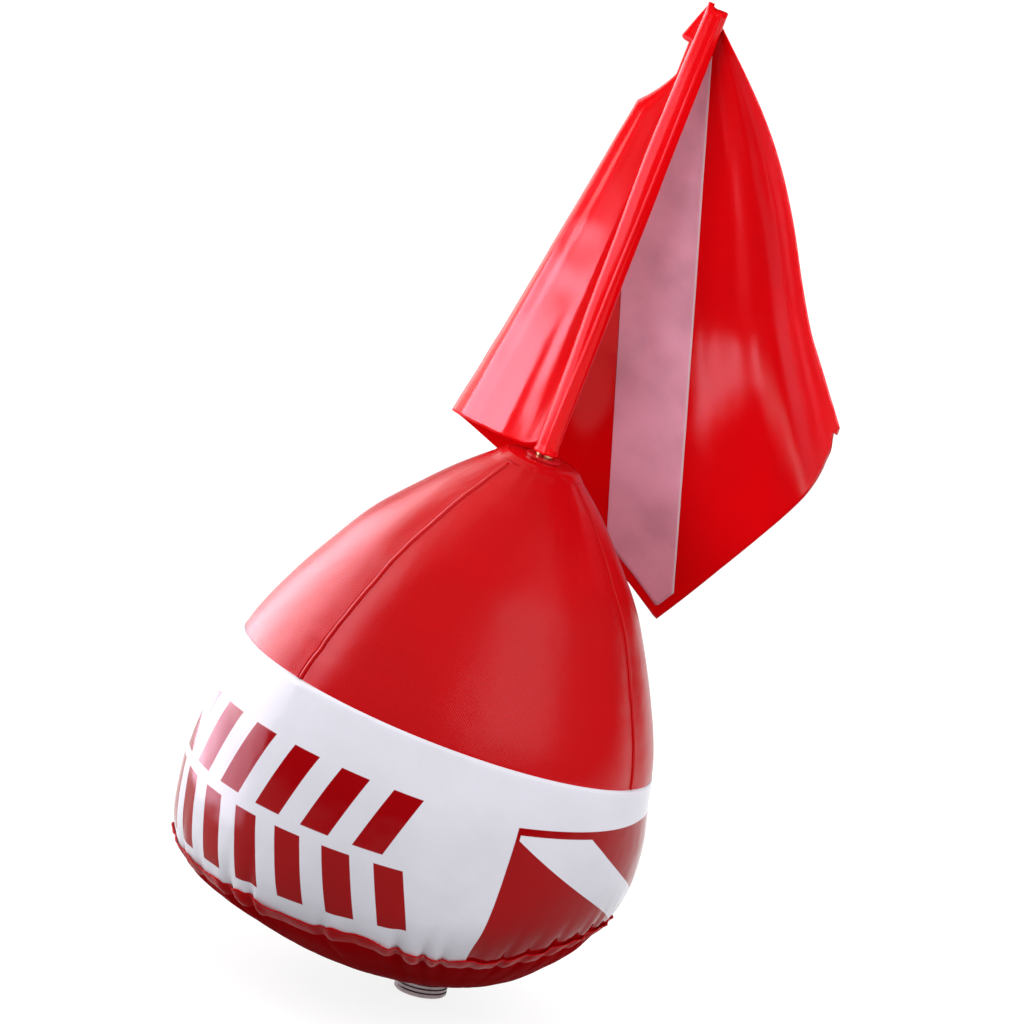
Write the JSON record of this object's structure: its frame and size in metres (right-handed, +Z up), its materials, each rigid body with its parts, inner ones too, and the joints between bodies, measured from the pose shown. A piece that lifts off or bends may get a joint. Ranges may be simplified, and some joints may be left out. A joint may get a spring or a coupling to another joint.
{
  "type": "dive flag float",
  "caption": "Inflatable weighted marker buoy with a white belly band, a steel foot, a push valve, a tow ring and a diver-down flag that swivels on a pull-out mast.",
  "frame": {"origin": "centre of the flat underside of the steel foot, on which the float stands", "axes": "+Z up, square to the foot's flat face; the cone and the mast lean towards +X (right) and +Y (back); the picture is seen along +Y"},
  "size_m": [0.3647, 0.2996, 0.666],
  "materials": {
    "red_skin": "glossy red coated cloth with a fine weave",
    "white_skin": "glossy white coated cloth with a fine weave, printed in red",
    "flag_red": "satin red flag sheet",
    "flag_white": "satin white flag sheet",
    "moulded_red": "moulded red plastic",
    "moulded_black": "moulded black plastic",
    "rubber": "black rubber",
    "mast_rod": "pale glass fibre rod",
    "brass": "bright brass",
    "steel": "turned stainless steel",
    "weight": "plain cast weight",
    "webbing": "black webbing"
  },
  "bodies": {
    "float_body": {"cone_gore_1": "red_skin", "cone_gore_2": "red_skin", "cone_gore_3": "red_skin", "cone_seam_tape_1": "red_skin", "cone_seam_tape_2": "red_skin", "cone_seam_tape_3": "red_skin", "band_seam_tape": "white_skin", "print_band": "white_skin", "bottom_panel": "red_skin", "bottom_weld_rim": "red_skin", "top_collar": "moulded_red", "mast_socket": "moulded_red", "ballast_foot": "steel", "foot_gasket": "rubber", "inner_gasket": "rubber", "ballast_weight": "weight", "ballast_washer": "steel", "ballast_nut": "steel", "ballast_stud": "steel", "tow_patch": "red_skin", "tow_tab": "webbing", "valve_flange": "moulded_red", "valve_body": "moulded_black", "valve_spring": "steel", "valve_cap_strap": "moulded_black"},
    "mast": {"mast": "mast_rod", "mast_ferrule": "brass", "mast_tip_cap": "moulded_black"},
    "flag": {"flag_panel": "flag_red", "flag_sleeve": "flag_red", "flag_stripe_front": "flag_white", "flag_stripe_back": "flag_white"},
    "tow_ring": {"tow_ring": "steel"},
    "valve_plunger": {"valve_plunger": "moulded_black", "valve_seal": "rubber"},
    "valve_cap": {"valve_cap": "moulded_black"}
  },
  "joints": [
    {"name": "mast_pull", "type": "slide", "parent": "float_body", "child": "mast", "axis": [0.1582, 0.0958, 0.9828], "range_m": [0, 0.088]},
    {"name": "flag_swivel", "type": "hinge", "parent": "mast", "child": "flag", "pos_m": [0.00637, 0.0158, 0.3588], "axis": [0.1582, 0.0958, 0.9828], "continuous": true},
    {"name": "tow_ring_swing", "type": "hinge", "parent": "float_body", "child": "tow_ring", "pos_m": [-0.035, 0.13657, 0.0778], "axis": [1, 0, 0], "range_deg": [-20, 120]},
    {"name": "valve_cap_hinge", "type": "hinge", "parent": "float_body", "child": "valve_cap", "pos_m": [0.04644, 0.11746, 0.22025], "axis": [0.8754, -0.474, -0.0946], "range_deg": [0, 150]},
    {"name": "valve_push", "type": "slide", "parent": "float_body", "child": "valve_plunger", "axis": [-0.4811, -0.8354, -0.2659], "range_m": [0, 0.0025], "stiffness_N_per_m": 200, "springref_m": -0.002, "deforming": ["valve_spring"]}
  ]
}
